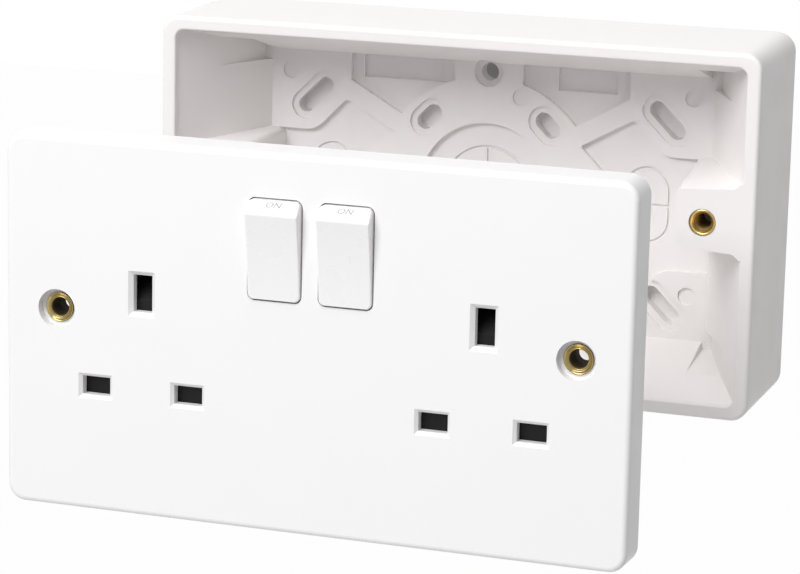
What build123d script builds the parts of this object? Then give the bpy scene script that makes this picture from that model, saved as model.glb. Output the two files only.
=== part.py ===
"""A twin switched socket outlet on a surface box, its front shown pulled forward off the box.

Millimetres. The origin is the middle of the box's back face, which lies on the wall at y = 0.
X runs along the width, Z is up and the front faces -Y.
"""

from build123d import *
import os
from math import atan, cos, degrees, radians, sin, sqrt, tan

os.makedirs("parts", exist_ok=True)

# The surface box
box_width = 146.0
box_height = 86.0
box_depth = 35.0
box_corner = 4.5
box_lean = 0.5                  # how far each side leans in from the wall to the rim
box_edge = 1.0
rim_wall = 3.3
inner_corner = 2.2
inner_edge = 0.5
floor_depth = 31.2              # from the rim to the pockets of the back wall
relief_rise = 1.6               # the raised part of the back wall over its pockets
relief_width = 111.0
relief_height = 63.6
slope_start = 2.0               # behind the rim, where the sloping inner sides begin
corner_fall_start = 14.3        # behind the rim, where the sides fall away in the corners
corner_fall = 1.7               # beyond the slopes at the back wall
corner_fall_out = 54.7          # where the falls begin, out from the middle
corner_fall_up = 29.0

# The relief of the back wall
stem_half = 8.5
web_radius = 28.2
web_end_angle = 39.0
brace_out = 35.0
brace_height = 25.2
waist_in = 23.2
waist_out = 31.0
wing_peak = 36.2
wing_foot = 44.0
wing_drop = 8.6                 # from the corner slot's middle to the wing's ledge
wing_peak_drop = 0.4
waist_step = 0.9
wing_radii = (0.1, 0.4, 6.0, 1.4, 0.5, 0.5, 0.1)
web_mid_angle = 60.0
ring_radius = 17.0
knockout_radius = 11.0
groove_width = 0.7
groove_depth = 0.5
side_knockout_place = 39.7
side_knockout_width = 11.6
side_knockout_height = 18.6
small_slot_place = 26.8
small_slot_width = 4.4
small_slot_height = 12.4
panel_depth = 0.8
panel_foot = 26.0
left_panel = (-32.0, -11.6)     # its two sides
right_panel = (17.1, 31.6)

# Fixings of the box
fixing_spacing = 58.8
fixing_radius = 2.2
fixing_recess_radius = 3.6
fixing_recess_depth = 1.2
blind_membrane = 1.0
slot_step_depth = 0.8
slot_step_width = 1.6
middle_slot = (7.1, 4.2)
middle_slot_place = (14.9, 17.4)
corner_slot = (11.0, 4.0)
corner_slot_out = 44.2
corner_slot_up = 20.8
corner_slot_down = 23.9
dimple_radius = 2.1
dimple_depth = 0.7
dimple_out = 50.5
dimple_up = 26.6
dimple_down = 21.1
middle_dimple = (8.2, 23.8)

# Fixing holes of the front and the lugs under them
screw_spacing = 120.6
screw_rise = 3.3                # above the middle of the height
lug_inward = 6.4                # from the insert's middle to the lug's end
lug_recess_right = 0.0
lug_recess_left = 8.5
lug_over = 7.4
lug_under = 6.1
lug_splay = 0.7                 # how much taller the lug is at the side wall, each way
lug_flare = 1.6
lug_corner = 1.6
lug_draft = 4.0
lug_bite = 0.6                  # into the side wall, past the rim's soft inner edge
insert_radius = 2.6
insert_length = 10.0
insert_bore = 1.75
insert_mouth = 0.55
insert_flange_radius = 3.05
insert_flange = 0.9
insert_soft = 0.25
insert_gap = 0.12

# The front plate
plate_width = 146.0
plate_height = 86.0
plate_depth = 9.0
plate_corner = 4.5
plate_lean = 0.4
plate_edge = 1.3
face_thickness = 2.8
skirt_wall = 2.4
seat_gap = 0.0                  # between the seated plate's back rim and the box's rim
shown_forward = 51.2            # how far the front stands off its seat
shown_aside = 12.3
shown_below = 19.7
boss_radius = 5.3
recess_radius = 4.45
recess_depth = 2.2
eyelet_bore = 1.8
eyelet_wall = 0.9
eyelet_mouth = 0.5
eyelet_flange_radius = 3.4
eyelet_flange = 0.6
eyelet_soft = 0.25

# The outlets
outlet_place = 39.7
pin_spread = 11.11              # live and neutral from the outlet's middle
pin_rise = -13.8
earth_rise = 8.4
pin_window = (6.7, 4.3)
earth_window = (4.5, 8.5)
pin_bevel = 0.75
earth_bevel = 0.95

# The switches
rocker_place = 8.25
rocker_rise = 21.2
rocker_width = 12.2
rocker_reach = 11.25            # radius of the rocker's ends about its pivot
rocker_corner = 1.5
rocker_gap = 0.3
pivot_depth = 1.6               # of the pivot under the face
pivot_radius = 0.8
pivot_length = 1.2
pivot_fit = 0.05
rocker_swing = 13.0
ridge_place = 8.4
ridge_proud = 3.2
ridge_soft = 0.9
top_proud = 0.9
foot_proud = 0.5
rocker_hollow = 0.35            # sag of the rocker's face between its foot and the ridge
rocker_back = 2.4               # from the pivot to the rocker's back
rocker_soft = 0.4
collar_wall = 1.6
collar_depth = 2.4
leg_radius = 2.6
leg_length = 6.4                # from the pivot
plunger_radius = 1.6
plunger_fit = 0.05
plunger_start = 4.2             # from the pivot to the plunger's back end
plunger_tip = 10.7              # from the pivot to the plunger's tip
plunger_gap = 0.12
plunger_round = 1.45            # of its tip
rocker_spring_start = 0.9
contact_length = 14.0
contact_width = 3.6
metal = 0.8                     # the thickness of every metal strip
contact_boss = 0.9
contact_fit = 0.05
pad_radius = 1.2
pad_height = 0.5
pad_place = 6.0
pad_gap = 0.15
post_half = 1.6
post_drop = 0.3

# The shutters
shutter_half = 15.0
shutter_bar = 5.4
shutter_thickness = 1.6
shutter_gap = 0.2
shutter_travel = 6.5
stem_width = 6.8
rail_width = 1.4
rail_lip = 0.8
rail_lip_thickness = 0.8
rail_gap = 0.25
spring_radius = 1.2
spring_wire = 0.22
spring_turns = 5.0
spring_inset = 0.1
spring_block = (6.0, 1.4)
shutter_spring_length = 11.4

# The rear cover and what it holds
cover_depth = 16.5              # behind the plate's back rim
cover_wall = 1.6
cover_floor = 1.8
cover_top = 31.0
cover_margin = 9.3              # from an outlet's middle to the cover's side above the step
cover_shoulder = 9.2            # how much wider the cover is below the step, each side
cover_step = -5.0
cover_corner = 2.5
bay_half = 21.0
bay_height = 5.0
post_radius = 3.0
post_inset_low = (5.6, 4.6)     # from the cover's lower corners
post_inset_high = (4.8, 4.8)
pad_wall = 1.1
pad_step = 2.0
cover_screw_radius = 1.2
cover_screw_length = 9.0
cover_screw_head = 2.5
cover_screw_head_height = 1.3
screw_clearance = 0.2
strip_width = 3.6
metal_gap = 0.2                 # between the lowest strip and the cover's floor
level_step = 3.0                # from one strip's level to the next
clip_gap = 3.5                  # between the leaves that grip a pin
clip_top = 5.0                  # of the leaves behind the plate's back rim
pin_clip_width = 6.0
earth_clip_width = 7.0
earth_line = 2.2
feed_line = -9.1
switch_line = 23.5
terminal_pitch = 14.0
terminal_width = 12.0
terminal_height = 10.0
terminal_depth = 10.0
terminal_top = -16.0
terminal_seat = 3.0
terminal_wire = 1.9
terminal_wire_pitch = 5.6
terminal_wire_depth = 7.0
terminal_screw_radius = 1.5
terminal_screw_place = 3.2
terminal_screw_head = 2.0
window_gap = 0.2
terminal_inset = 1.0            # from the cover's back to the terminals' backs
notch_floor = 2.0               # behind which the cover's top wall is whole again
notch_gap = 0.4
rocker_spring_turns = 3.0

# Planes and heights that follow from the sizes above
wall_plane = Plane.XZ
front_origin = (-shown_aside, -(box_depth + seat_gap + shown_forward), -shown_below)
front = Plane(origin=front_origin, x_dir=(1, 0, 0), z_dir=(0, -1, 0))
relief_depth = floor_depth - relief_rise
inner_width = box_width - 2 * (rim_wall + box_lean)
inner_height = box_height - 2 * (rim_wall + box_lean)
inner_face = plate_depth - face_thickness
cover_inside = -(cover_depth - cover_floor)
pivot_height = plate_depth - pivot_depth
contact_height = pivot_height - plunger_tip - plunger_gap - metal
half_swing = rocker_swing / 2
low_level = cover_inside + metal_gap
middle_level = low_level + level_step
high_level = middle_level + level_step
lug_reach = screw_spacing / 2 - lug_inward
cover_upper_half = outlet_place + cover_margin
cover_lower_half = cover_upper_half + cover_shoulder
cover_bottom = -cover_top
POSTS = [
    (side * x, z)
    for side in (-1, 1)
    for x, z in (
        (cover_lower_half - post_inset_low[0], cover_bottom + post_inset_low[1]),
        (cover_upper_half - post_inset_high[0], cover_top - post_inset_high[1]),
    )
]
shutter_front = inner_face - shutter_gap
shutter_back = shutter_front - shutter_thickness
ramp_depth = shutter_travel
stem_top = earth_rise + earth_window[1] / 2 + shutter_gap
SIDES = ((-1, "left"), (1, "right"))


def inside(depth):
    """The plane at this depth behind the box's rim, facing out of the box."""
    return wall_plane.offset(box_depth - depth)


def across(x):
    """The plane square to the front's width at x: local x runs up, local y out of the face."""
    return Plane(origin=front.from_local_coords((x, 0, 0)), x_dir=(0, 0, 1), z_dir=(1, 0, 0))


def tilted(x, rise, height, angle):
    """A plane at a pivot in the front, tipped about X, with its normal out of the face."""
    turn = radians(angle)
    return Plane(
        origin=front.from_local_coords((x, rise, height)),
        x_dir=(1, 0, 0),
        z_dir=(0, -cos(turn), -sin(turn)),
    )


def save(block, name):
    """Names the finished piece and writes it."""
    block.part.label = name
    export_step(block.part, f"parts/{name}.step")


def coil_spring(start, height, radius, turns):
    """A compression spring of fine wire that rises from a plane along its normal."""
    path = Helix(
        pitch=height / turns, height=height, radius=radius, center=start.origin, direction=start.z_dir
    )
    with BuildPart() as spring:
        with BuildSketch(path ^ 0):
            RegularPolygon(spring_wire, 6)
        sweep(path=path, is_frenet=True)
    return spring


def slope_at(depth, rim_half, wall_half):
    """How far out a sloping inner side lies at a depth behind the rim."""
    share = (depth - slope_start) / (relief_depth - slope_start)
    return rim_half + share * (wall_half - rim_half)


def cut_pocket(points, radii, side, level):
    """Cuts a pocket out of the relief, on the side and level that the signs give."""
    with BuildLine() as edge:
        FilletPolyline(*[(side * x, level * z) for x, z in points], radius=radii, close=True)
    make_face(edge.edges(), mode=Mode.SUBTRACT)


LUGS = ((-1, lug_recess_left), (1, lug_recess_right))
lug_low = screw_rise - lug_under
lug_high = screw_rise + lug_over


def lug_outline(side, grow):
    """A lug's outline, from its free end out into the side wall, drawn larger by the draft."""
    end = lug_reach - grow
    low = lug_low - grow
    high = lug_high + grow
    bend = inner_width / 2 - lug_flare
    out = inner_width / 2 + lug_bite
    flare = out - bend
    with BuildLine() as edge:
        FilletPolyline(
            (side * end, high),
            (side * end, low),
            (side * bend, low - lug_splay),
            (side * out, low - lug_splay - flare),
            (side * out, high + lug_splay + flare),
            (side * bend, high + lug_splay),
            radius=(lug_corner, lug_corner, lug_flare, lug_bite, lug_bite, lug_flare),
            close=True,
        )
    make_face(edge.edges())


# In the corners of the box the sloping sides fall away a little towards the back wall
fall_front = -(box_depth - corner_fall_start)
fall_back = -(box_depth - relief_depth)
with BuildPart() as corner_falls:
    with BuildSketch(Plane.YZ):
        with BuildLine():
            Polyline(
                (fall_front, corner_fall_up),
                (fall_front, slope_at(corner_fall_start, inner_height / 2, relief_height / 2)),
                (fall_back, relief_height / 2 + corner_fall),
                (fall_back, corner_fall_up),
                close=True,
            )
        make_face()
    extrude(amount=box_width / 2)
    with BuildSketch(Plane.XY):
        with BuildLine():
            Polyline(
                (corner_fall_out, fall_front),
                (slope_at(corner_fall_start, inner_width / 2, relief_width / 2), fall_front),
                (relief_width / 2 + corner_fall, fall_back),
                (corner_fall_out, fall_back),
                close=True,
            )
        make_face()
    extrude(amount=box_height / 2, mode=Mode.INTERSECT)
    mirror(about=Plane.YZ)
    mirror(about=Plane.XY)

# Back box: one moulding with sloping inner sides, a relief of ribs on the back wall and two lugs
with BuildPart() as back_box:
    with BuildSketch(wall_plane):
        RectangleRounded(box_width, box_height, box_corner)
    extrude(amount=box_depth, taper=degrees(atan(box_lean / box_depth)))
    with BuildSketch(inside(0)):
        RectangleRounded(inner_width, inner_height, inner_corner)
    extrude(amount=-floor_depth, mode=Mode.SUBTRACT)

    # The inner sides slope in from just behind the rim to the edge of the relief
    slope_back = -(box_depth - relief_depth)
    slope_front = -(box_depth - slope_start)
    base = -(box_depth - floor_depth)
    with BuildSketch(Plane.YZ):
        with BuildLine():
            Polyline(
                (slope_front, -inner_height / 2),
                (slope_back, -relief_height / 2),
                (base, -relief_height / 2),
                (base, -inner_height / 2),
                close=True,
            )
        make_face()
        mirror(about=Plane.XZ)
    extrude(amount=inner_width / 2, both=True)
    with BuildSketch(Plane.XY):
        with BuildLine():
            Polyline(
                (inner_width / 2, slope_front),
                (relief_width / 2, slope_back),
                (relief_width / 2, base),
                (inner_width / 2, base),
                close=True,
            )
        make_face()
        mirror(about=Plane.YZ)
    extrude(amount=inner_height / 2, both=True)
    add(corner_falls.part, mode=Mode.SUBTRACT)

    # The relief: a stem up and down, a wide web, braces to the corners and a ring in the middle
    web_end = (web_radius * sin(radians(90 - web_end_angle)), web_radius * sin(radians(web_end_angle)))
    web_start = (stem_half, sqrt(web_radius**2 - stem_half**2))
    web_mid = (web_radius * cos(radians(web_mid_angle)), web_radius * sin(radians(web_mid_angle)))
    with BuildSketch(inside(floor_depth)):
        Rectangle(relief_width, relief_height)
        for side in (-1, 1):
            for level in (-1, 1):
                with BuildLine():
                    ThreePointArc(*[(side * x, level * z) for x, z in (web_start, web_mid, web_end)])
                    Polyline(
                        (side * web_end[0], level * web_end[1]),
                        (side * brace_out, level * brace_height),
                        (side * brace_out, level * relief_height / 2),
                        (side * stem_half, level * relief_height / 2),
                        (side * stem_half, level * web_start[1]),
                    )
                make_face(mode=Mode.SUBTRACT)
                slot_rise = corner_slot_up if level > 0 else corner_slot_down
                ledge = slot_rise - wing_drop
                peak = slot_rise - wing_peak_drop
                waist = ledge + waist_step
                cut_pocket(
                    (
                        (relief_width / 2, 0),
                        (relief_width / 2, ledge),
                        (wing_foot, ledge),
                        (wing_peak, peak),
                        (waist_in, waist),
                        (waist_out, waist - (waist_out - waist_in)),
                        (waist_out, 0),
                    ),
                    wing_radii,
                    side,
                    level,
                )
        Circle(ring_radius, mode=Mode.SUBTRACT)
    extrude(amount=relief_rise)

    rim_face = back_box.faces().filter_by(Axis.Y).sort_by(Axis.Y)[0]
    fillet(rim_face.outer_wire().edges(), box_edge)
    rim_face = back_box.faces().filter_by(Axis.Y).sort_by(Axis.Y)[0]
    fillet(rim_face.inner_wires()[0].edges(), inner_edge)

    # The lugs run from their faces back to the wall
    for side, recess in LUGS:
        with BuildSketch(inside(floor_depth)) as lug_foot:
            lug_outline(side, (floor_depth - recess) * tan(radians(lug_draft)))
        with BuildSketch(inside(recess)) as lug_face:
            lug_outline(side, 0)
        loft()
    for side, recess in LUGS:
        with Locations(inside(recess)):
            with Locations((side * screw_spacing / 2, screw_rise)):
                CounterBoreHole(
                    insert_radius, insert_flange_radius + insert_gap, insert_flange, insert_length
                )

    # Through holes at the top and bottom, and slots that are left closed by a thin membrane
    with Locations(inside(relief_depth)):
        with GridLocations(0, fixing_spacing, 1, 2):
            CounterBoreHole(fixing_radius, fixing_recess_radius, fixing_recess_depth)
    slots = []
    for side in (-1, 1):
        lean = 45 * side
        slots.append((side * corner_slot_out, corner_slot_up, -lean, corner_slot))
        slots.append((side * corner_slot_out, -corner_slot_down, -lean, corner_slot))
        slots.append((side * middle_slot_place[0], middle_slot_place[1], -lean, middle_slot))
        slots.append((side * middle_slot_place[0], -middle_slot_place[1], lean, middle_slot))
    with BuildSketch(inside(relief_depth)):
        for x, z, turn, (long, wide) in slots:
            with Locations((x, z)):
                SlotOverall(long + 2 * slot_step_width, wide + 2 * slot_step_width, rotation=turn)
    extrude(amount=-slot_step_depth, mode=Mode.SUBTRACT)
    with BuildSketch(inside(relief_depth)):
        for x, z, turn, (long, wide) in slots:
            with Locations((x, z)):
                SlotOverall(long, wide, rotation=turn)
    extrude(amount=-(box_depth - relief_depth - blind_membrane), mode=Mode.SUBTRACT)
    with BuildSketch(inside(relief_depth)):
        for side in (-1, 1):
            with Locations((side * dimple_out, dimple_up), (side * dimple_out, -dimple_down)):
                Circle(dimple_radius)
        with Locations(middle_dimple):
            Circle(dimple_radius)
    extrude(amount=-dimple_depth, mode=Mode.SUBTRACT)

    # Knockouts: scored outlines in the pockets and the ring, and thin panels at the top
    with BuildSketch(inside(floor_depth)):
        Circle(knockout_radius + groove_width / 2)
        Circle(knockout_radius - groove_width / 2, mode=Mode.SUBTRACT)
        Rectangle(groove_width, 2 * knockout_radius)
        Rectangle(2 * knockout_radius, groove_width)
        for side in (-1, 1):
            with Locations((side * side_knockout_place, 0)):
                SlotOverall(side_knockout_height, side_knockout_width, rotation=90)
                SlotOverall(
                    side_knockout_height - 2 * groove_width,
                    side_knockout_width - 2 * groove_width,
                    rotation=90,
                    mode=Mode.SUBTRACT,
                )
                Rectangle(side_knockout_width, groove_width)
    extrude(amount=-groove_depth, mode=Mode.SUBTRACT)
    with BuildSketch(inside(floor_depth - relief_rise)):
        for side in (-1, 1):
            with Locations((side * small_slot_place, 0)):
                SlotOverall(small_slot_height, small_slot_width, rotation=90)
    extrude(amount=-(box_depth - relief_depth - blind_membrane), mode=Mode.SUBTRACT)
    with BuildSketch(inside(floor_depth)):
        for left_edge, right_edge in (left_panel, right_panel):
            for level in (-1, 1):
                middle = ((left_edge + right_edge) / 2, level * (panel_foot + relief_height / 2) / 2)
                with Locations(middle):
                    Rectangle(right_edge - left_edge, relief_height / 2 - panel_foot)
    extrude(amount=-panel_depth, mode=Mode.SUBTRACT)
save(back_box, "back_box")

# Threaded brass inserts, pressed into the lugs
for (side, recess), name in zip(LUGS, ("left", "right")):
    seat = inside(recess)
    middle = (side * screw_spacing / 2, screw_rise)
    with BuildPart() as insert:
        with BuildSketch(seat):
            with Locations(middle):
                Circle(insert_flange_radius)
        extrude(amount=-insert_flange)
        with BuildSketch(seat):
            with Locations(middle):
                Circle(insert_radius)
        extrude(amount=-insert_length)
        with BuildSketch(seat):
            with Locations(middle):
                Circle(insert_bore)
        extrude(amount=-insert_length, mode=Mode.SUBTRACT)
        rings = insert.edges().filter_by(GeomType.CIRCLE).group_by(Axis.Y)[0].sort_by(SortBy.RADIUS)
        chamfer(rings[0], insert_mouth)
        fillet(rings[-1], insert_soft)
    save(insert, f"insert_{name}")

# Front plate: face, skirt, wells for the pins, switch openings, posts and shutter rails
spring_foot = pin_rise - shutter_bar / 2 - shutter_spring_length
with BuildPart() as front_plate:
    with BuildSketch(front):
        RectangleRounded(plate_width, plate_height, plate_corner)
    extrude(amount=plate_depth, taper=degrees(atan(plate_lean / plate_depth)))
    face = front_plate.faces().filter_by(Axis.Y).sort_by(Axis.Y)[0]
    fillet(face.outer_wire().edges(), plate_edge)
    with BuildSketch(front):
        RectangleRounded(plate_width - 2 * skirt_wall, plate_height - 2 * skirt_wall, plate_corner - skirt_wall)
    extrude(amount=inner_face, mode=Mode.SUBTRACT)

    # Bosses round the fixing holes, and posts that carry the rear cover
    with BuildSketch(front):
        with GridLocations(screw_spacing, 0, 2, 1):
            with Locations((0, screw_rise)):
                Circle(boss_radius)
    extrude(amount=inner_face)
    post_end = cover_inside + pad_step
    with BuildSketch(front.offset(post_end)):
        with Locations(*POSTS):
            Circle(post_radius)
    extrude(amount=inner_face - post_end)
    with BuildSketch(front.offset(post_end)):
        with Locations(*POSTS):
            Circle(cover_screw_radius)
    extrude(amount=cover_screw_length, mode=Mode.SUBTRACT)

    # The collar behind the switch openings, with the holes that the rockers turn in
    opening_half = rocker_width / 2 + rocker_gap
    opening_reach = rocker_reach + rocker_gap
    with BuildSketch(front.offset(inner_face - collar_depth)):
        with Locations((0, rocker_rise)):
            Rectangle(
                2 * (rocker_place + opening_half + collar_wall), 2 * (opening_reach + collar_wall)
            )
    extrude(amount=collar_depth)
    with BuildSketch(front.offset(inner_face - collar_depth)):
        with Locations((-rocker_place, rocker_rise), (rocker_place, rocker_rise)):
            RectangleRounded(2 * opening_half, 2 * opening_reach, rocker_corner + rocker_gap)
    extrude(amount=collar_depth + face_thickness, mode=Mode.SUBTRACT)
    with BuildSketch(across(0)):
        with Locations((rocker_rise, pivot_height)):
            Circle(pivot_radius + pivot_fit)
    extrude(
        amount=rocker_place + opening_half + pivot_length,
        both=True,
        mode=Mode.SUBTRACT,
    )

    # Fixing holes with a recess for the screw's head
    with BuildSketch(front.offset(plate_depth)):
        with Locations((-screw_spacing / 2, screw_rise), (screw_spacing / 2, screw_rise)):
            Circle(recess_radius)
    extrude(amount=-recess_depth, mode=Mode.SUBTRACT)
    with BuildSketch(front):
        with Locations((-screw_spacing / 2, screw_rise), (screw_spacing / 2, screw_rise)):
            Circle(eyelet_bore + eyelet_wall)
    extrude(amount=plate_depth, mode=Mode.SUBTRACT)

    # Pin windows
    with BuildSketch(front):
        for side in (-1, 1):
            with Locations((side * outlet_place, pin_rise)):
                with GridLocations(2 * pin_spread, 0, 2, 1):
                    Rectangle(*pin_window)
            with Locations((side * outlet_place, earth_rise)):
                Rectangle(*earth_window)
    extrude(amount=plate_depth, mode=Mode.SUBTRACT)
    face = front_plate.faces().filter_by(Axis.Y).sort_by(Axis.Y)[0]
    windows = [wire for wire in face.inner_wires() if not wire.edges().filter_by(GeomType.CIRCLE)]
    for wire in windows:
        box = wire.bounding_box().size
        chamfer(wire.edges(), earth_bevel if box.Z > box.X else pin_bevel)

    # Rails that the shutters slide in, and the blocks that their springs push from
    rail_depth = shutter_thickness + shutter_gap + rail_gap + rail_lip_thickness
    rail_reach = shutter_half + rail_gap
    rail_height = shutter_bar + shutter_travel
    rail_middle = pin_rise - shutter_travel / 2
    for side in (-1, 1):
        with BuildSketch(front.offset(inner_face - rail_depth)):
            with Locations((side * outlet_place, rail_middle)):
                with Locations((-(rail_reach + rail_width / 2), 0), (rail_reach + rail_width / 2, 0)):
                    Rectangle(rail_width, rail_height)
        extrude(amount=rail_depth)
        with BuildSketch(front.offset(inner_face - rail_depth)):
            with Locations((side * outlet_place, rail_middle)):
                with Locations((-(rail_reach - rail_lip / 2), 0), (rail_reach - rail_lip / 2, 0)):
                    Rectangle(rail_lip, rail_height)
        extrude(amount=rail_lip_thickness)
        block_depth = 2 * (spring_radius + spring_wire) + shutter_gap
        with BuildSketch(front.offset(inner_face - block_depth)):
            with Locations((side * outlet_place, spring_foot - spring_block[1] / 2)):
                Rectangle(*spring_block)
        extrude(amount=block_depth)
save(front_plate, "front_plate")

# Brass eyelets that line the fixing holes
for side, name in SIDES:
    seat = front.offset(plate_depth - recess_depth)
    middle = (side * screw_spacing / 2, screw_rise)
    with BuildPart() as eyelet:
        with BuildSketch(seat):
            with Locations(middle):
                Circle(eyelet_flange_radius)
        extrude(amount=eyelet_flange)
        with BuildSketch(seat):
            with Locations(middle):
                Circle(eyelet_bore + eyelet_wall)
        extrude(amount=-(plate_depth - recess_depth))
        with BuildSketch(front):
            with Locations(middle):
                Circle(eyelet_bore)
        extrude(amount=plate_depth, mode=Mode.SUBTRACT)
        rings = eyelet.edges().filter_by(GeomType.CIRCLE).group_by(Axis.Y)[0].sort_by(SortBy.RADIUS)
        chamfer(rings[0], eyelet_mouth)
        fillet(rings[-1], eyelet_soft)
    save(eyelet, f"eyelet_{name}")

# Rockers, with their plungers and springs, in the position that presses the foot in
foot = (rocker_rise - rocker_reach, plate_depth + foot_proud)
ridge = (rocker_rise + ridge_place, plate_depth + ridge_proud)
hollow = ((foot[0] + ridge[0]) / 2, (foot[1] + ridge[1]) / 2 - rocker_hollow)
for side, name in SIDES:
    x = side * rocker_place
    leg = tilted(x, rocker_rise, pivot_height, half_swing)
    with BuildPart() as rocker:
        with BuildSketch(across(x)):
            with Locations((rocker_rise, pivot_height)):
                Circle(rocker_reach)
            with BuildLine():
                ThreePointArc(foot, hollow, ridge)
                Polyline(
                    ridge,
                    (rocker_rise + rocker_reach, plate_depth + top_proud),
                    (rocker_rise + 2 * rocker_reach, plate_depth + top_proud),
                    (rocker_rise + 2 * rocker_reach, pivot_height - rocker_back),
                    (rocker_rise - 2 * rocker_reach, pivot_height - rocker_back),
                    (rocker_rise - 2 * rocker_reach, plate_depth + foot_proud),
                    foot,
                )
            make_face(mode=Mode.INTERSECT)
        extrude(amount=rocker_width / 2, both=True)
        with BuildSketch(front.offset(pivot_height - rocker_back)):
            with Locations((x, rocker_rise)):
                RectangleRounded(rocker_width, 2 * rocker_reach, rocker_corner)
        extrude(amount=2 * plate_depth, mode=Mode.INTERSECT)
        fillet(rocker.edges().filter_by(Axis.X).sort_by(Axis.Y)[0], ridge_soft)
        crown = rocker.faces().sort_by(Axis.Y)[:3]
        fillet(crown.edges().filter_by(Axis.X, reverse=True), rocker_soft)
        with BuildSketch(leg):
            Circle(leg_radius)
        extrude(amount=-leg_length)
        with BuildSketch(leg.offset(-rocker_spring_start)):
            Circle(plunger_radius + plunger_fit)
        extrude(amount=-leg_length, mode=Mode.SUBTRACT)
        with BuildSketch(across(x)):
            with Locations((rocker_rise, pivot_height)):
                Circle(pivot_radius)
        extrude(amount=rocker_width / 2 + pivot_length, both=True)
    save(rocker, f"rocker_{name}")

    with BuildPart() as plunger:
        with BuildSketch(leg.offset(-plunger_start)):
            Circle(plunger_radius)
        extrude(amount=-(plunger_tip - plunger_start))
        tip = plunger.edges().filter_by(GeomType.CIRCLE).sort_by(Axis.Y)[-1]
        fillet(tip, plunger_round)
    save(plunger, f"plunger_{name}")

    coil_height = plunger_start - rocker_spring_start - 2 * spring_wire - 2 * spring_inset
    coil_start = leg.offset(-(plunger_start - spring_wire - spring_inset))
    rocker_spring = coil_spring(
        coil_start, coil_height, plunger_radius - spring_wire - spring_inset, rocker_spring_turns
    )
    save(rocker_spring, f"rocker_spring_{name}")

    # The moving contact: a strip that rocks on a post under the plunger
    bar = tilted(x, rocker_rise, contact_height, -half_swing)
    with BuildPart() as moving_contact:
        with BuildSketch(bar):
            SlotOverall(contact_length, contact_width, rotation=90)
        extrude(amount=metal)
        with BuildSketch(Plane(origin=bar.origin, x_dir=bar.y_dir, z_dir=bar.x_dir)):
            Circle(contact_boss)
            with Locations((0, contact_boss)):
                Rectangle(4 * contact_boss, 2 * contact_boss, mode=Mode.SUBTRACT)
        extrude(amount=contact_width / 2, both=True)
        with BuildSketch(bar):
            with Locations((0, pad_place)):
                Circle(pad_radius)
        extrude(amount=-pad_height)
    save(moving_contact, f"moving_contact_{name}")

# Shutters: a bar over the pin windows and a stem with the ramp that the earth pin pushes
for side, name in SIDES:
    x = side * outlet_place
    with BuildPart() as shutter:
        with BuildSketch(front.offset(shutter_back)):
            with Locations((x, pin_rise)):
                Rectangle(2 * shutter_half, shutter_bar)
        extrude(amount=shutter_thickness)
        with BuildSketch(across(x)):
            with BuildLine():
                Polyline(
                    (pin_rise, shutter_back),
                    (pin_rise, shutter_front),
                    (stem_top - ramp_depth, shutter_front),
                    (stem_top, shutter_front - ramp_depth),
                    (stem_top, shutter_front - ramp_depth - shutter_thickness),
                    (stem_top - shutter_thickness, shutter_front - ramp_depth - shutter_thickness),
                    (stem_top - ramp_depth - shutter_thickness, shutter_back),
                    close=True,
                )
            make_face()
        extrude(amount=stem_width / 2, both=True)
    save(shutter, f"shutter_{name}")

    coil_height = shutter_spring_length - 2 * spring_wire - 2 * spring_inset
    height = inner_face - shutter_gap - spring_radius - spring_wire
    start = front.from_local_coords((x, spring_foot + spring_wire + spring_inset, height))
    coil_start = Plane(origin=start, x_dir=(1, 0, 0), z_dir=(0, 0, 1))
    shutter_spring = coil_spring(coil_start, coil_height, spring_radius, spring_turns)
    save(shutter_spring, f"shutter_spring_{name}")


def clip(x, z, level, tall):
    """Adds a receiver: a foot at a strip's level and two leaves that grip a wide or a tall pin."""
    width = earth_clip_width if tall else pin_clip_width
    spread = clip_gap + metal
    size = (metal, width) if tall else (width, metal)
    step = (spread, 0) if tall else (0, spread)
    foot = (spread + metal, width) if tall else (width, spread + metal)
    with BuildSketch(front.offset(level)) as foot_outline:
        with Locations((x, z)):
            Rectangle(*foot)
    extrude(foot_outline.sketch, amount=metal)
    with BuildSketch(front.offset(level)) as leaves:
        with Locations((x - step[0] / 2, z - step[1] / 2), (x + step[0] / 2, z + step[1] / 2)):
            Rectangle(*size)
    extrude(leaves.sketch, amount=-clip_top - level)


# Neutral bar: joins the left pins of both outlets to the neutral terminal
left_pin = outlet_place + pin_spread
right_pin = outlet_place - pin_spread
terminal_reach = terminal_top - terminal_seat
with BuildPart() as neutral_bar:
    with BuildSketch(front.offset(low_level)):
        with BuildLine():
            Line((-left_pin, pin_rise), (right_pin, pin_rise))
        trace(line_width=strip_width)
        with BuildLine():
            Line((-terminal_pitch, pin_rise), (-terminal_pitch, terminal_reach))
        trace(line_width=strip_width)
    extrude(amount=metal)
    clip(-left_pin, pin_rise, low_level, False)
    clip(right_pin, pin_rise, low_level, False)
save(neutral_bar, "neutral_bar")

# Earth bar: joins both earth pins to the earth terminal
with BuildPart() as earth_bar:
    with BuildSketch(front.offset(high_level)):
        with BuildLine():
            Line((-outlet_place, earth_line), (outlet_place, earth_line))
        trace(line_width=strip_width)
        with BuildLine():
            Line((0, earth_line), (0, terminal_reach))
        trace(line_width=strip_width)
    extrude(amount=metal)
    for side in (-1, 1):
        clip(side * outlet_place, earth_rise, low_level, True)
        with BuildSketch(front.offset(high_level)):
            with Locations((side * outlet_place, (earth_line + earth_rise) / 2)):
                Rectangle(clip_gap + 2 * metal, earth_rise - earth_line)
        extrude(amount=metal)
save(earth_bar, "earth_bar")

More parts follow.
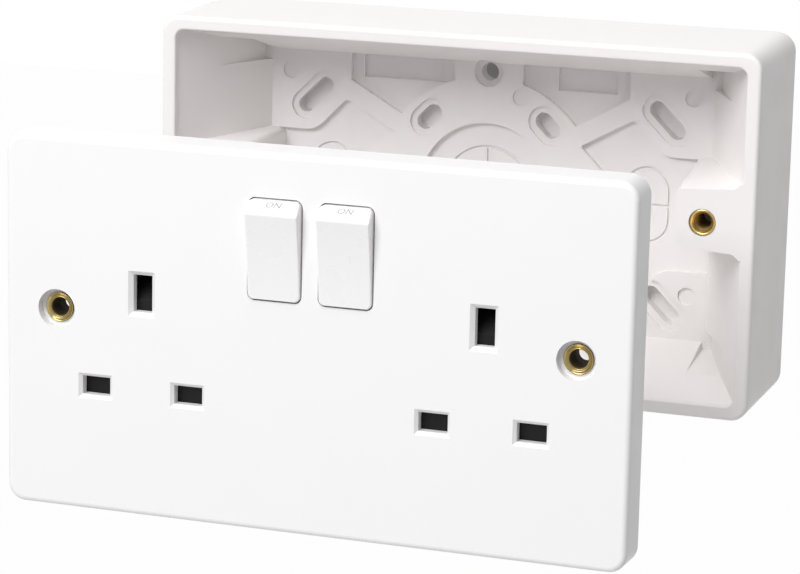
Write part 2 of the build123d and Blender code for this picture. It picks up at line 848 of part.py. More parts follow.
# Live bar: joins the live terminal to the posts that the moving contacts rock on
post_top = contact_height - post_drop
with BuildPart() as live_bar:
    with BuildSketch(front.offset(middle_level)):
        with BuildLine():
            Line((terminal_pitch, terminal_reach), (terminal_pitch, rocker_rise))
        trace(line_width=strip_width)
        with BuildLine():
            Line((-rocker_place, rocker_rise), (terminal_pitch, rocker_rise))
        trace(line_width=strip_width)
    extrude(amount=metal)
    with BuildSketch(front.offset(middle_level)):
        with Locations((-rocker_place, rocker_rise), (rocker_place, rocker_rise)):
            Rectangle(contact_width, 2 * post_half)
    extrude(amount=post_top - middle_level)
    with BuildSketch(across(0)):
        with Locations((rocker_rise, contact_height)):
            Circle(contact_boss + contact_fit)
    extrude(amount=rocker_place + contact_width, both=True, mode=Mode.SUBTRACT)
save(live_bar, "live_bar")

# Live clips: each grips a live pin and ends in the fixed contact of its own switch
half_turn = radians(half_swing)
contact_out = pad_place * cos(half_turn) - pad_height * sin(half_turn)
contact_drop = (pad_place + pad_radius) * sin(half_turn) + pad_height * cos(half_turn) + pad_gap
fixed_top = contact_height - contact_drop
for side, name, pin in ((-1, "left", -right_pin), (1, "right", left_pin)):
    with BuildPart() as live_clip:
        with BuildSketch(front.offset(middle_level)):
            with BuildLine():
                Line((pin, pin_rise), (pin, feed_line))
            trace(line_width=strip_width)
            with BuildLine():
                Line((pin, feed_line), (side * switch_line, feed_line))
            trace(line_width=strip_width)
            with BuildLine():
                Line((side * switch_line, feed_line), (side * switch_line, rocker_rise + contact_out))
            trace(line_width=strip_width)
            with BuildLine():
                Line(
                    (side * switch_line, rocker_rise + contact_out),
                    (side * rocker_place, rocker_rise + contact_out),
                )
            trace(line_width=strip_width)
        extrude(amount=metal)
        clip(pin, pin_rise, middle_level, False)
        with BuildSketch(front.offset(middle_level)):
            with Locations((side * rocker_place, rocker_rise + contact_out)):
                Circle(pad_radius)
        extrude(amount=fixed_top - middle_level)
    save(live_clip, f"live_clip_{name}")

# Terminals: brass blocks with two wire holes from below and two screws from behind
terminal_back = -(cover_depth - terminal_inset)
terminal_middle = terminal_top - terminal_height / 2
screw_line = terminal_top - terminal_height + terminal_screw_place
TERMINALS = (
    ("neutral_terminal", -terminal_pitch, low_level),
    ("earth_terminal", 0.0, high_level),
    ("live_terminal", terminal_pitch, middle_level),
)
for name, x, level in TERMINALS:
    with BuildPart() as terminal:
        with BuildSketch(front.offset(terminal_back)):
            with Locations((x, terminal_middle)):
                Rectangle(terminal_width, terminal_height)
        extrude(amount=terminal_depth)
        with BuildSketch(front.offset(level)):
            with Locations((x, terminal_top - terminal_seat / 2)):
                Rectangle(strip_width, terminal_seat)
        extrude(amount=metal, mode=Mode.SUBTRACT)
        wire_foot = (x, terminal_top - terminal_height, terminal_back + terminal_depth / 2)
        wire_plane = Plane(
            origin=front.from_local_coords(wire_foot), x_dir=(1, 0, 0), z_dir=(0, 0, 1)
        )
        with BuildSketch(wire_plane):
            with GridLocations(terminal_wire_pitch, 0, 2, 1):
                Circle(terminal_wire)
        extrude(amount=terminal_wire_depth, mode=Mode.SUBTRACT)
        with BuildSketch(front.offset(terminal_back)):
            with Locations((x, screw_line)):
                with GridLocations(terminal_wire_pitch, 0, 2, 1):
                    Circle(terminal_screw_radius)
        extrude(amount=terminal_depth / 2, mode=Mode.SUBTRACT)
    save(terminal, name)

with BuildPart() as terminal_screws:
    with BuildSketch(front.offset(terminal_back)):
        with Locations(*[(x, screw_line) for name, x, level in TERMINALS]):
            with GridLocations(terminal_wire_pitch, 0, 2, 1):
                Circle(terminal_screw_radius)
    extrude(amount=terminal_depth / 2 - terminal_wire)
    with BuildSketch(front.offset(terminal_back)):
        with Locations(*[(x, screw_line) for name, x, level in TERMINALS]):
            with GridLocations(terminal_wire_pitch, 0, 2, 1):
                Circle(terminal_screw_head)
    extrude(amount=-metal)
save(terminal_screws, "terminal_screws")

# Rear cover: a tray over the metal parts, narrower between the lugs than below them
def cover_outline(inset):
    """The cover's outline, drawn in by the inset, with a bay below for the wires."""
    with Locations((0, (cover_top + cover_step) / 2)):
        Rectangle(2 * (cover_upper_half - inset), cover_top - cover_step - 2 * inset)
    with Locations((0, (cover_step + cover_bottom) / 2)):
        Rectangle(2 * (cover_lower_half - inset), cover_step - cover_bottom - 2 * inset)
    Rectangle(2 * (cover_upper_half - inset), cover_top - 2 * inset)
    with Locations((0, cover_bottom + (bay_height + inset) / 2)):
        Rectangle(2 * (bay_half + inset), bay_height + inset, mode=Mode.SUBTRACT)


with BuildPart() as rear_cover:
    with BuildSketch(front.offset(-cover_depth)) as outline:
        cover_outline(0)
        fillet(outline.vertices(), cover_corner)
    extrude(amount=cover_depth + inner_face)
    back_edges = rear_cover.faces().filter_by(Axis.Y).sort_by(Axis.Y)[-1].outer_wire().edges()
    fillet(back_edges, cover_wall / 2)
    with BuildSketch(front.offset(cover_inside)) as outline:
        cover_outline(cover_wall)
        fillet(outline.vertices(), cover_corner - cover_wall)
    extrude(amount=inner_face - cover_inside, mode=Mode.SUBTRACT)
    with BuildSketch(front.offset(cover_inside)):
        with Locations(*POSTS):
            Circle(cover_screw_head + pad_wall)
    extrude(amount=pad_step)
    with BuildSketch(front.offset(-cover_depth)):
        with Locations(*POSTS):
            Circle(cover_screw_head + screw_clearance)
    extrude(amount=cover_screw_head_height + screw_clearance, mode=Mode.SUBTRACT)
    with BuildSketch(front.offset(-cover_depth)):
        with Locations(*POSTS):
            Circle(cover_screw_radius + screw_clearance)
    extrude(amount=cover_floor + pad_step, mode=Mode.SUBTRACT)
    with BuildSketch(front.offset(-cover_depth)):
        with Locations((0, terminal_middle)):
            with GridLocations(terminal_pitch, 0, 3, 1):
                Rectangle(terminal_width + 2 * window_gap, terminal_height + 2 * window_gap)
    extrude(amount=terminal_inset + terminal_depth + 2 * window_gap, mode=Mode.SUBTRACT)

    # The top wall stops short of the collar and the rockers
    with BuildSketch(front.offset(notch_floor)):
        with Locations((0, cover_top - cover_wall / 2)):
            Rectangle(2 * (rocker_place + opening_half + collar_wall + notch_gap), 2 * cover_wall)
    extrude(amount=inner_face - notch_floor, mode=Mode.SUBTRACT)
save(rear_cover, "rear_cover")

with BuildPart() as cover_screws:
    head_seat = -cover_depth + cover_screw_head_height + screw_clearance
    with BuildSketch(front.offset(head_seat)):
        with Locations(*POSTS):
            Circle(cover_screw_head)
    extrude(amount=-cover_screw_head_height)
    with BuildSketch(front.offset(head_seat)):
        with Locations(*POSTS):
            Circle(cover_screw_radius)
    extrude(amount=post_end + cover_screw_length - head_seat - 2 * screw_clearance)
save(cover_screws, "cover_screws")
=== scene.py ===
# %% [markdown]
# A twin switched socket, pulled forward off its surface box.
#
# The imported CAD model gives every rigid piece. This file dresses it: it finishes the plastic, brass
# and steel, turns the brass rings, prints the marks on the rockers, lights the scene and sets the
# camera where the photographer stood. All lengths are metres. X is the width, Z is up and the front
# faces -Y.

# %% Load the frame
import math

import bpy
import numpy as np
from mathutils import Matrix, Vector


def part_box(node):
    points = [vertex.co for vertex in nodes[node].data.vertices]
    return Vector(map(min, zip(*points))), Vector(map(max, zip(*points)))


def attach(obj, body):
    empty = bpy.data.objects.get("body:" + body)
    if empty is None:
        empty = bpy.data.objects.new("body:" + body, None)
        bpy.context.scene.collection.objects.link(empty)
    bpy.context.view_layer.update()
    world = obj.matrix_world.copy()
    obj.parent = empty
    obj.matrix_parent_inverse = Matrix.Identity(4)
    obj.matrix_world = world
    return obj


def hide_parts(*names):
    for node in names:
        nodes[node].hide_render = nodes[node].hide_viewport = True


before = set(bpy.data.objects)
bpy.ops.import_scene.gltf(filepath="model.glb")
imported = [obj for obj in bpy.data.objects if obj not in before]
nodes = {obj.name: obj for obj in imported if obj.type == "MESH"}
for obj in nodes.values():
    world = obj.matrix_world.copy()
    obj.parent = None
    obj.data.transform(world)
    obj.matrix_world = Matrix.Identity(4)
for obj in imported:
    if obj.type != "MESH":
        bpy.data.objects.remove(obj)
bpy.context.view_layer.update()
print("pieces in the frame:", len(nodes))

# %% [markdown]
# A few measures of the real object drive everything below. They are read from the frame where it
# has them, so that a change there carries through.

# %% Driving measures
mm = 0.001
plate_low, plate_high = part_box("front_plate")
box_low, box_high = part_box("back_box")
plate_middle = (plate_low + plate_high) / 2
plate_face = plate_low.y
print("plate", [round(v / mm, 2) for v in plate_high - plate_low], "face at", round(plate_face / mm, 2))
print("box", [round(v / mm, 2) for v in box_high - box_low])

# %% [markdown]
# Finishes come first. A moulded piece is never one flat colour: its gloss wanders a little where
# the melt cooled faster, and its skin has the faint grain of the mould. So a finish here is a
# Principled shader whose colour and roughness are nudged by soft noise, and whose bump is a finer
# noise. Object coordinates keep the pattern fixed to the piece when it moves.


# %% Helpers for noise-driven finishes
def new_finish(name, colour, rough, metal=0.0, ior=1.46):
    """An empty finish: a Principled shader with its plain values set, and its tree to build on."""
    finish = bpy.data.materials.new(name)
    finish.use_nodes = True
    tree = finish.node_tree
    shader = tree.nodes["Principled BSDF"]
    shader.inputs["Base Color"].default_value = (*colour, 1)
    shader.inputs["Roughness"].default_value = rough
    shader.inputs["Metallic"].default_value = metal
    shader.inputs["IOR"].default_value = ior
    return finish, tree, shader


def noise(tree, scale, detail=2.0, stretch=(1, 1, 1)):
    """Soft noise on Object coordinates, with features of about 1 / scale metres."""
    where = tree.nodes.new("ShaderNodeTexCoord")
    turn = tree.nodes.new("ShaderNodeMapping")
    turn.inputs["Scale"].default_value = stretch
    cloud = tree.nodes.new("ShaderNodeTexNoise")
    cloud.inputs["Scale"].default_value = scale
    cloud.inputs["Detail"].default_value = detail
    tree.links.new(where.outputs["Object"], turn.inputs["Vector"])
    tree.links.new(turn.outputs["Vector"], cloud.inputs["Vector"])
    return cloud.outputs["Fac"]


def remap(tree, value, source, result):
    """Carries a value from one span of numbers to another, and stops at its ends."""
    span = tree.nodes.new("ShaderNodeMapRange")
    span.inputs["From Min"].default_value, span.inputs["From Max"].default_value = source
    span.inputs["To Min"].default_value, span.inputs["To Max"].default_value = result
    tree.links.new(value, span.inputs["Value"])
    return span.outputs["Result"]


def between(tree, value, low, high):
    """Spreads noise, which keeps to about 0.3 to 0.7, between two numbers."""
    return remap(tree, value, (0.3, 0.7), (low, high))


def blend(tree, share):
    """Mixes two colours, the second where the share is one. Gives both inlets and the mixture."""
    mix = tree.nodes.new("ShaderNodeMix")
    mix.data_type = "RGBA"
    tree.links.new(share, mix.inputs[0])
    return mix.inputs[6], mix.inputs[7], mix.outputs[2]


def tint(tree, value, dark, light):
    """Mixes two colours by noise."""
    first, second, result = blend(tree, between(tree, value, 0, 1))
    first.default_value = (*dark, 1)
    second.default_value = (*light, 1)
    return result


def grain(tree, shader, value, strength, height):
    """Bumps the surface by a value, with its height in metres."""
    bump = tree.nodes.new("ShaderNodeBump")
    bump.inputs["Strength"].default_value = strength
    bump.inputs["Distance"].default_value = height
    tree.links.new(value, bump.inputs["Height"])
    tree.links.new(bump.outputs["Normal"], shader.inputs["Normal"])


# %% [markdown]
# The white mouldings are urea on the real object: hard, very white and a little glossy, with the
# slightest warm cast. The plate's skin is polished, the box's a touch duller and the hidden cover's
# plain, so they are several finishes made by one function.


# %% White mouldings
def white_moulding(name, colour, rough, swirl, pit):
    """Hard white moulding. Slow noise shifts the tone and the gloss, fine noise pits the skin."""
    swirl_scale, gloss_scale, skin_scale = 55, 140, 2600
    gloss_drift, pit_depth = 0.05, 0.02 * mm
    finish, tree, shader = new_finish(name, colour, rough)
    light = tuple(min(1, c * (1 + swirl)) for c in colour)
    dark = tuple(c * (1 - swirl) for c in colour)
    tone = tint(tree, noise(tree, swirl_scale, 3), dark, light)
    gloss = between(tree, noise(tree, gloss_scale, 4), rough - gloss_drift, rough + gloss_drift)
    tree.links.new(tone, shader.inputs["Base Color"])
    tree.links.new(gloss, shader.inputs["Roughness"])
    grain(tree, shader, noise(tree, skin_scale, 3), pit, pit_depth)
    return finish


plate_white = white_moulding("plate_white", (0.897, 0.888, 0.891), rough=0.34, swirl=0.004, pit=0.2)
box_white = white_moulding("box_white", (0.895, 0.868, 0.862), rough=0.42, swirl=0.006, pit=0.35)
rocker_white = white_moulding("rocker_white", (0.9, 0.893, 0.895), rough=0.28, swirl=0.002, pit=0.12)
cover_white = white_moulding("cover_white", (0.84, 0.835, 0.825), rough=0.5, swirl=0.01, pit=0.5)
plunger_white = white_moulding("plunger_white", (0.82, 0.82, 0.815), rough=0.36, swirl=0.008, pit=0.2)
whites = (plate_white, box_white, rocker_white, cover_white, plunger_white)
print("white finishes:", [finish.name for finish in whites])

# %% [markdown]
# The shutters are the one dark moulding: a dull black, so that the pin windows read as holes. The
# cloudy noise keeps the gloss of a piece that is cheaply moulded and never seen whole.


# %% Dark moulding
def dark_moulding(name, colour, rough, pit, ior):
    """Dark moulding with cloudy gloss and a pitted skin."""
    cloud_scale, gloss_scale, skin_scale = 240, 190, 1700
    cloud_gain, gloss_drift, pit_depth = 1.35, 0.08, 0.03 * mm
    finish, tree, shader = new_finish(name, colour, rough, ior=ior)
    light = tuple(c * cloud_gain for c in colour)
    tone = tint(tree, noise(tree, cloud_scale, 4), colour, light)
    gloss = between(tree, noise(tree, gloss_scale, 3), rough - gloss_drift, rough + gloss_drift)
    tree.links.new(tone, shader.inputs["Base Color"])
    tree.links.new(gloss, shader.inputs["Roughness"])
    grain(tree, shader, noise(tree, skin_scale, 3), pit, pit_depth)
    return finish


shutter_black = dark_moulding("shutter_black", (0.005, 0.005, 0.0055), rough=0.55, pit=0.3, ior=1.3)
print("dark finish:", shutter_black.name)

# %% [markdown]
# The bars and clips are rolled brass, the screws are plated steel and the springs drawn wire.
# Rolled strip has long fine streaks, so its noise is stretched along the strip, and brass darkens
# a little in patches in the air.

# %% Metals
patch_scale = 260
line_depth = 0.02 * mm


def metal_finish(name, bright, dull, rough, stretch, fine, relief=0.12):
    """Bare metal. Patchy noise takes it from bright to dull, stretched noise draws the rolling lines."""
    smoother, rougher = 0.05, 0.07
    finish, tree, shader = new_finish(name, bright, rough, metal=1.0)
    tree.links.new(tint(tree, noise(tree, patch_scale, 4), dull, bright), shader.inputs["Base Color"])
    streaks = noise(tree, fine, 3, stretch)
    gloss = between(tree, streaks, rough - smoother, rough + rougher)
    tree.links.new(gloss, shader.inputs["Roughness"])
    grain(tree, shader, streaks, relief, line_depth)
    return finish


evenly, along_strip = (1, 1, 1), (0.12, 1, 1)
rolled_brass = metal_finish("rolled_brass", (0.84, 0.6, 0.27), (0.7, 0.47, 0.19), 0.3, along_strip, 2400)
plated_steel = metal_finish("plated_steel", (0.78, 0.78, 0.77), (0.63, 0.63, 0.61), 0.3, evenly, 1800)
spring_wire = metal_finish("spring_wire", (0.62, 0.61, 0.6), (0.47, 0.46, 0.45), 0.28, evenly, 3000)
print("metals:", rolled_brass.name, plated_steel.name, spring_wire.name)

# %% [markdown]
# The eyelets and the inserts are turned and tumbled bright. Their bores and grooves, and the eyelets'
# outer edges, are darkened with painted shade, which stands in for the shade and dark reflections in
# these hollows. It follows the distance from the hole's axis, so a finish is told the middle of its
# hole and a list of how much of the brass is left unshaded at each radius. Where the shade is painted,
# the brass is less of a metal, rougher and nearly black.


# %% Turned brass
def unshaded_share(tree, middle, shade_stops):
    """How much of the brass is left free of painted shade at a point, by (radius in mm, unshaded share)
    pairs about an axis along Y.

    The distance is that of (x, z) from the axis, sqrt((x - middle.x)^2 + (z - middle.z)^2). It runs
    through a colour ramp of greys, whose stops lie at the pairs' radii.
    """
    ramp_end = 4
    where = tree.nodes.new("ShaderNodeTexCoord")
    flat = tree.nodes.new("ShaderNodeVectorMath")
    reach = tree.nodes.new("ShaderNodeVectorMath")
    ramp = tree.nodes.new("ShaderNodeValToRGB")
    flat.operation = "MULTIPLY"
    flat.inputs[1].default_value = (1, 0, 1)
    reach.operation = "DISTANCE"
    reach.inputs[1].default_value = (middle.x, 0, middle.z)
    stops = ramp.color_ramp.elements
    for place, (radius, unshaded) in enumerate(shade_stops):
        stop = stops[place] if place < 2 else stops.new(1.0)
        stop.position = radius / ramp_end
        stop.color = (unshaded, unshaded, unshaded, 1)
    tree.links.new(where.outputs["Object"], flat.inputs[0])
    tree.links.new(flat.outputs["Vector"], reach.inputs[0])
    share = remap(tree, reach.outputs["Value"], (0, ramp_end * mm), (0, 1))
    tree.links.new(share, ramp.inputs["Fac"])
    return ramp.outputs["Color"]


def turned_brass(name, middle, shade_stops, bright, dull):
    """Brass that falls towards a painted dark brown shade where the stops say so."""
    # The dark brown below is painted shade for the hollows. Where it lies, the brass is rougher and nearly
    # loses its gloss.
    painted_shade, shade_gloss = (0.035, 0.024, 0.012), 0.15
    shaded_rough, bare_rough = 0.75, 0.14
    lathe_scale, lathe_strength = 900, 0.02
    finish, tree, shader = new_finish(name, bright, bare_rough, metal=1.0)
    bare = tint(tree, noise(tree, patch_scale, 4), dull, bright)
    # One on bare brass, falling towards nought where shade is painted.
    unshaded = unshaded_share(tree, middle, shade_stops)
    first, second, colour = blend(tree, unshaded)
    first.default_value = (*painted_shade, 1)
    tree.links.new(bare, second)
    tree.links.new(colour, shader.inputs["Base Color"])
    tree.links.new(unshaded, shader.inputs["Metallic"])
    tree.links.new(remap(tree, unshaded, (0, 1), (shaded_rough, bare_rough)), shader.inputs["Roughness"])
    shader.inputs["Specular IOR Level"].default_value = shade_gloss
    grain(tree, shader, noise(tree, lathe_scale, 3), lathe_strength, line_depth)
    return finish


# Pairs of radius and unshaded share. Below one, the brass carries painted shade: in the eyelet's bore,
# groove and outer edge, and in the insert's bore.
eyelet_shade_stops = [(1.9, 0.0), (2.06, 0.12), (2.22, 0.6), (2.3, 1.0), (2.42, 1.0), (2.5, 0.7), (2.66, 0.7),
               (2.9, 0.95), (3.24, 0.95), (3.36, 0.1)]
insert_shade_stops = [(1.5, 0.75), (1.8, 0.6), (2.05, 0.75), (2.4, 1.0), (2.7, 1.0)]
olive, olive_dull = (0.5, 0.4, 0.18), (0.4, 0.31, 0.12)
gold, gold_dull = (0.76, 0.57, 0.25), (0.62, 0.42, 0.15)
print("bands on an eyelet:", len(eyelet_shade_stops), "on an insert:", len(insert_shade_stops))

# %% [markdown]
# The rings catch the eye, and what makes them look like metal is their section: an eyelet has a
# groove and a rolled lip round its mouth, and an insert has a thread down its bore. Each is a
# profile turned about the hole's axis, so it is a grid of angle by step along the profile. The
# profiles are kept inside the solids that they stand for.


# %% Turned rings
def turned(name, middle, profile, facets=96):
    """A closed profile of (radius, y) turned about an axis along Y through a point.

    Each profile step becomes a ring at x = radius cos(angle), z = radius sin(angle), so the surface
    is the product of the two lists. A profile that is a function of the angle may be given too.
    """
    angle = np.linspace(0, 2 * np.pi, facets, endpoint=False)
    radius, along = profile(angle) if callable(profile) else np.array(profile, float).T
    radius, along = np.broadcast_arrays(np.atleast_2d(radius), np.atleast_2d(along))
    if radius.shape[0] == 1:
        radius, along = np.repeat(radius, facets, 0), np.repeat(along, facets, 0)
    steps = radius.shape[1]
    x = middle.x + radius * np.cos(angle)[:, None]
    z = middle.z + radius * np.sin(angle)[:, None]
    points = np.stack([x, along, z], -1).reshape(-1, 3)
    i, j = np.meshgrid(np.arange(facets), np.arange(steps), indexing="ij")
    after, beside = (i + 1) % facets, (j + 1) % steps
    quads = np.stack([i * steps + j, after * steps + j, after * steps + beside, i * steps + beside], -1)
    shape = bpy.data.meshes.new(name)
    shape.from_pydata(points.tolist(), [], quads.reshape(-1, 4).tolist())
    shape.polygons.foreach_set("use_smooth", np.ones(len(shape.polygons), bool))
    shape.update()
    piece = bpy.data.objects.new(name, shape)
    bpy.context.scene.collection.objects.link(piece)
    return piece


def face_out(piece):
    """Turns a closed shape's faces outwards, which its signed volume tells."""
    shape = piece.data
    corners = np.array([shape.vertices[v].co[:] for face in shape.polygons for v in face.vertices[:3]])
    a, b, c = corners.reshape(-1, 3, 3).transpose(1, 0, 2)
    if np.einsum("ij,ij->i", a, np.cross(b, c)).sum() < 0:
        shape.flip_normals()


def eyelet_profile(low, high):
    """Front lip, groove, rolled mouth and a long sleeve, from the eyelet's box.

    The pairs are (radius, depth behind the front) in millimetres, from the flange's rim inwards.
    """
    front, length = low.y, (high.y - low.y) / mm
    outer = (high.x - low.x) / 2 / mm
    bore, sleeve, flange = 1.8, 2.7, 0.6
    rim = [(outer - 0.03, flange), (outer, 0.3), (outer - 0.04, 0.14), (outer - 0.12, 0.04),
           (outer - 0.22, 0.02)]
    groove = [(3.06, 0.14), (2.92, 0.3), (2.78, 0.46), (2.64, 0.58), (2.54, 0.6), (2.46, 0.54), (2.4, 0.42)]
    mouth = [(2.34, 0.36), (2.26, 0.37), (2.18, 0.48), (2.08, 0.74), (1.98, 1.05), (1.9, 1.4), (1.84, 1.9)]
    tube = [(bore, 2.5), (bore, 4.0), (bore, length), (sleeve, length), (sleeve, flange)]
    return [(radius * mm, front + depth * mm) for radius, depth in rim + groove + mouth + tube]


def insert_profile(low, high):
    """A rounded flange, a countersunk mouth and a bore whose radius swings with the thread.

    The pairs are (radius, depth behind the front) in millimetres, as is all else here.
    """
    front, length = low.y, (high.y - low.y) / mm
    outer = (high.x - low.x) / 2 / mm
    bore, body, flange = 1.75, 2.6, 0.9
    pitch, flute, thread_start, fade_over, steps_per_turn = 0.7, 0.26, 1.0, 0.5, 8
    rim = [(outer, flange), (outer, 0.25), (outer - 0.08, 0.07), (outer - 0.25, 0.0), (outer - 0.42, 0.03),
           (outer - 0.56, 0.14), (2.36, 0.36), (2.2, 0.6), (2.02, 0.8)]
    tail = [(body, length), (body, flange)]
    depth = np.arange(thread_start, length - 0.01, pitch / steps_per_turn)

    def swept(angle):
        """Rim and tail are plain rings, and between them radius = bore + flute * zigzag.

        The zigzag falls and rises once each pitch and starts later with the angle: a helix.
        """
        turns = depth[None] / pitch - angle[:, None] / (2 * np.pi)
        zigzag = np.abs(2 * (turns - np.floor(turns)) - 1)
        fade = np.clip((depth[None] - thread_start) / fade_over, 0, 1)
        threaded = bore + flute * (1 - fade * (1 - zigzag))
        ones = np.ones((len(angle), 1))
        radius = np.hstack([ones * [r for r, y in rim], threaded, ones * [r for r, y in tail]])
        along = np.hstack([ones * [y for r, y in rim], ones * depth, ones * [y for r, y in tail]])
        return radius * mm, front + along * mm

    return swept


# %% Eyelets and inserts
eyelet_look = (eyelet_shade_stops, olive, olive_dull)
insert_look = (insert_shade_stops, gold, gold_dull)
for name, body, make, look in (
    ("eyelet_left", "front", eyelet_profile, eyelet_look),
    ("eyelet_right", "front", eyelet_profile, eyelet_look),
    ("insert_left", "box", insert_profile, insert_look),
    ("insert_right", "box", insert_profile, insert_look),
):
    low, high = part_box(name)
    middle = (low + high) / 2
    ring = turned(f"{name}_turned", middle, make(low, high))
    face_out(ring)
    ring.data.materials.append(turned_brass(f"brass_{name}", middle, *look))
    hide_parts(name)
    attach(ring, body)
    print(ring.name, "faces", len(ring.data.polygons), "middle", [round(v / mm, 2) for v in middle])

# %% [markdown]
# Each node now takes its finish. The frame's pieces keep their shape; only what fills their
# material slots changes. The longest matching start of a node's name decides, and the bars, clips
# and terminals, which match none, are rolled brass.

# %% Dress the nodes
FINISHES = {
    "back_box": box_white,
    "front_plate": plate_white,
    "rear_cover": cover_white,
    "rocker": rocker_white,
    "plunger": plunger_white,
    "shutter_spring": spring_wire,
    "shutter": shutter_black,
    "rocker_spring": spring_wire,
    "terminal_screws": plated_steel,
    "cover_screws": plated_steel,
}
for name, node in nodes.items():
    matches = [key for key in FINISHES if name.startswith(key)]
    finish = FINISHES[max(matches, key=len)] if matches else rolled_brass
    node.data.materials.clear()
    node.data.materials.append(finish)
    print(f"{name:22s}", finish.name)

# %% [markdown]
# Each rocker carries a small slanted ON, printed in pale grey on its upper facet. Text is the
# simplest way to draw it. It becomes a mesh before it is laid on the facet, tilted as the facet is.

# %% Marks on the rockers
mark_size, mark_slant, mark_squash = 2.3 * mm, 0.3, 0.82
mark_bold, mark_film, mark_lift = 0.03 * mm, 0.01 * mm, 0.02 * mm
mark_drop = 0.95 * mm


def facet_under(node, x, z):
    """Three points of a rocker's face, one under a point and one each a little right and above it."""
    shape = nodes[node]
    ahead, aside = -0.3, 0.3 * mm
    hits = []
    for dx, dz in ((0, 0), (aside, 0), (0, aside)):
        hit, where = shape.ray_cast(Vector((x + dx, ahead, z + dz)), Vector((0, 1, 0)))[:2]
        if not hit:
            raise RuntimeError(f"no face of {node} under the mark")
        hits.append(Vector(where))
    return hits


def printed_mark(name, node, drop):
    """A slanted ON on a rocker's upper facet, a hair proud of it."""
    low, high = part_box(node)
    x, z = (low.x + high.x) / 2, high.z - drop
    origin, right, above = facet_under(node, x, z)
    across = (right - origin).normalized()
    rise = (above - origin).normalized()
    out = across.cross(rise).normalized()
    if out.y > 0:
        out.negate()
    letters = bpy.data.curves.new(name, "FONT")
    letters.body = "ON"
    letters.size = mark_size
    letters.shear = mark_slant
    letters.offset = mark_bold
    letters.align_x = "CENTER"
    letters.align_y = "CENTER"
    letters.extrude = mark_film
    letters.resolution_u = 3
    holder = bpy.data.objects.new(name, letters)
    shape = bpy.data.meshes.new_from_object(holder)
    bpy.data.objects.remove(holder)
    place = Matrix((across, rise * mark_squash, out)).transposed().to_4x4()
    place.translation = origin + out * mark_lift
    shape.transform(place)
    mark = bpy.data.objects.new(name, shape)
    bpy.context.scene.collection.objects.link(mark)
    return mark


ink_scale, ink_dark, ink_light = 3000, (0.36, 0.36, 0.37), (0.46, 0.46, 0.47)
ink, ink_tree, ink_shader = new_finish("mark_ink", (0.44, 0.44, 0.45), 0.5)
ink_tone = tint(ink_tree, noise(ink_tree, ink_scale, 2), ink_dark, ink_light)
ink_tree.links.new(ink_tone, ink_shader.inputs["Base Color"])
for side in ("left", "right"):
    mark = printed_mark(f"mark_{side}", f"rocker_{side}", mark_drop)
    mark.data.materials.clear()
    mark.data.materials.append(ink)
    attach(mark, f"{side}_rocker")
    print(mark.name, "faces", len(mark.data.polygons))

# %% [markdown]
# The stage is a pale floor far below the object, so that only a faint shadow falls in the frame,
# and a patch of wall that closes the holes in the box's back, where it would hang. The patch is
# seen from the front only, and no light stops at it. Rays that the camera, gloss or glass sends
# find the floor and the world plain white; for light the world is dimmer, so that the lamps shape
# the object.


# %% Rays that see the background
def larger_of(tree, first, second):
    """The larger of two values."""
    larger = tree.nodes.new("ShaderNodeMath")
    larger.operation = "MAXIMUM"
    tree.links.new(first, larger.inputs[0])
    tree.links.new(second, larger.inputs[1])
    return larger.outputs[0]


def background_rays(tree):
    """One for a ray from the camera, a reflection or glass, and nought for one that carries light."""
    path = tree.nodes.new("ShaderNodeLightPath")
    seen = path.outputs["Is Camera Ray"]
    for kind in ("Is Glossy Ray", "Is Transmission Ray"):
        seen = larger_of(tree, seen, path.outputs[kind])
    return seen


def mixed(tree, share, first, second):
    """Two shaders mixed, the second where the share is one."""
    mix = tree.nodes.new("ShaderNodeMixShader")
    tree.links.new(share, mix.inputs[0])
    tree.links.new(first, mix.inputs[1])
    tree.links.new(second, mix.inputs[2])
    return mix.outputs[0]


def flat_patch(name, corners):
    """One flat face with four corners."""
    shape = bpy.data.meshes.new(name)
    shape.from_pydata(corners, [], [(0, 1, 2, 3)])
    piece = bpy.data.objects.new(name, shape)
    bpy.context.scene.collection.objects.link(piece)
    return piece


# %% Floor
floor_half = 3.0
floor_level = box_low.z - 0.45
floor_glow = 0.98
left, right, near, far = -floor_half, floor_half, -floor_half, floor_half
floor = flat_patch("floor", [(left, near, floor_level), (right, near, floor_level),
                             (right, far, floor_level), (left, far, floor_level)])
floor_paint, floor_tree, floor_shader = new_finish("floor_paint", (0.8, 0.8, 0.8), 0.9)
glow = floor_tree.nodes.new("ShaderNodeEmission")
share = floor_tree.nodes.new("ShaderNodeMath")
share.operation = "MULTIPLY"
share.inputs[1].default_value = floor_glow
floor_tree.links.new(background_rays(floor_tree), share.inputs[0])
lit = mixed(floor_tree, share.outputs[0], floor_shader.outputs[0], glow.outputs[0])
floor_tree.links.new(lit, floor_tree.nodes["Material Output"].inputs["Surface"])
floor.data.materials.append(floor_paint)
print("floor", round(floor_level, 3), "m")

# %% Wall behind the box's holes
wall_inset, wall_gap = 2 * mm, 0.2 * mm
left, right = box_low.x + wall_inset, box_high.x - wall_inset
bottom, top = box_low.z + wall_inset, box_high.z - wall_inset
behind = box_high.y + wall_gap
wall = flat_patch("wall", [(left, behind, bottom), (right, behind, bottom),
                           (right, behind, top), (left, behind, top)])
wall_paint, wall_tree, wall_shader = new_finish("wall_paint", (0.5, 0.5, 0.5), 0.9)
facing = wall_tree.nodes.new("ShaderNodeNewGeometry")
clear = wall_tree.nodes.new("ShaderNodeBsdfTransparent")
unseen = wall_tree.nodes.new("ShaderNodeMath")
unseen.operation = "SUBTRACT"
unseen.inputs[0].default_value = 1.0
wall_tree.links.new(background_rays(wall_tree), unseen.inputs[1])
open_share = larger_of(wall_tree, unseen.outputs[0], facing.outputs["Backfacing"])
one_way = mixed(wall_tree, open_share, wall_shader.outputs[0], clear.outputs[0])
wall_tree.links.new(one_way, wall_tree.nodes["Material Output"].inputs["Surface"])
wall.data.materials.append(wall_paint)
print("wall faces", tuple(round(v) for v in wall.data.polygons[0].normal))

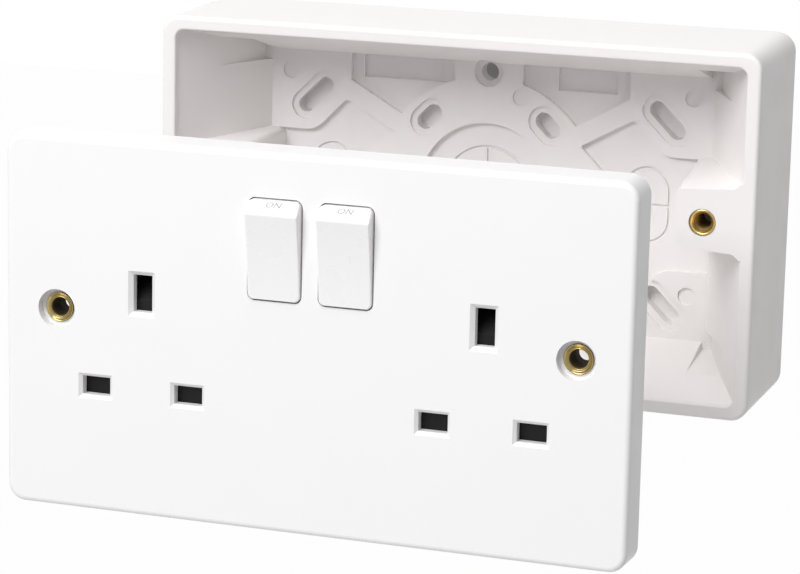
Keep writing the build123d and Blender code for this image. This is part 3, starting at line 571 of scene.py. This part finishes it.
# %% World
seen_strength, light_strength = 1.0, 0.31
world = bpy.data.worlds.new("studio")
bpy.context.scene.world = world
world.use_nodes = True
tree = world.node_tree
tree.nodes.clear()
seen_white = tree.nodes.new("ShaderNodeBackground")
light_grey = tree.nodes.new("ShaderNodeBackground")
output = tree.nodes.new("ShaderNodeOutputWorld")
for background, strength in ((seen_white, seen_strength), (light_grey, light_strength)):
    background.inputs["Color"].default_value = (1, 1, 1, 1)
    background.inputs["Strength"].default_value = strength
sky = mixed(tree, background_rays(tree), light_grey.outputs[0], seen_white.outputs[0])
tree.links.new(sky, output.inputs["Surface"])
print("world light", light_strength)

# %% [markdown]
# The photograph is lit by a broad soft box, high in front and a little to the left, with a weaker
# one overhead. They make the face and the tops about equally bright and leave the right sides grey.
# The key stands near enough for the face to fade a little towards the right.


# %% Lamps
def soft_box(name, place, target, size, power):
    """A square area lamp at a place, turned to a target."""
    lamp = bpy.data.lights.new(name, "AREA")
    lamp.shape = "SQUARE"
    lamp.size = size
    lamp.energy = power
    holder = bpy.data.objects.new(name, lamp)
    holder.location = place
    holder.rotation_euler = (Vector(target) - Vector(place)).to_track_quat("-Z", "Y").to_euler()
    bpy.context.scene.collection.objects.link(holder)
    return holder


aim = (plate_middle.x, plate_face, plate_middle.z)
soft_box("key", (-0.417, -1.16, 0.835), aim, size=0.75, power=13.7)
soft_box("overhead", (-0.012, -0.515, 1.108), aim, size=0.8, power=6.5)

# %% [markdown]
# The camera stands to the right of the object and a little above it, with a long lens, as product
# photographs are taken. Its place, lens, roll and a slight shift were worked out from where the
# corners of the plate and of the box lie in the photograph.

# %% Camera
azimuth, elevation, roll = math.radians(19.39), math.radians(11.92), math.radians(1.03)
focal_px, shift_px = 3123.73, (-60.0, -50.0)
picture_width, film_width = 800, 36
target = Vector((-5.53, -95.2, 5.83)) * mm
distance = 674.05 * mm
level_reach = math.cos(elevation)
back = Vector((math.sin(azimuth) * level_reach, -math.cos(azimuth) * level_reach, math.sin(elevation)))
level = Vector((0, 0, 1)).cross(back).normalized()
upward = back.cross(level)
right = level * math.cos(roll) + upward * math.sin(roll)
above = upward * math.cos(roll) - level * math.sin(roll)
eye = bpy.data.cameras.new("camera")
eye.sensor_width = film_width
eye.lens = focal_px / picture_width * film_width
eye.shift_x = -shift_px[0] / picture_width
eye.shift_y = shift_px[1] / picture_width
eye.clip_start, eye.clip_end = 0.05, 20
camera = bpy.data.objects.new("camera", eye)
place = Matrix((right, above, back)).transposed().to_4x4()
place.translation = target + back * distance
camera.matrix_world = place
bpy.context.scene.collection.objects.link(camera)
bpy.context.scene.camera = camera
bpy.context.scene.view_settings.view_transform = "Standard"
print("camera at", [round(v, 4) for v in place.translation], "lens", round(eye.lens, 1))
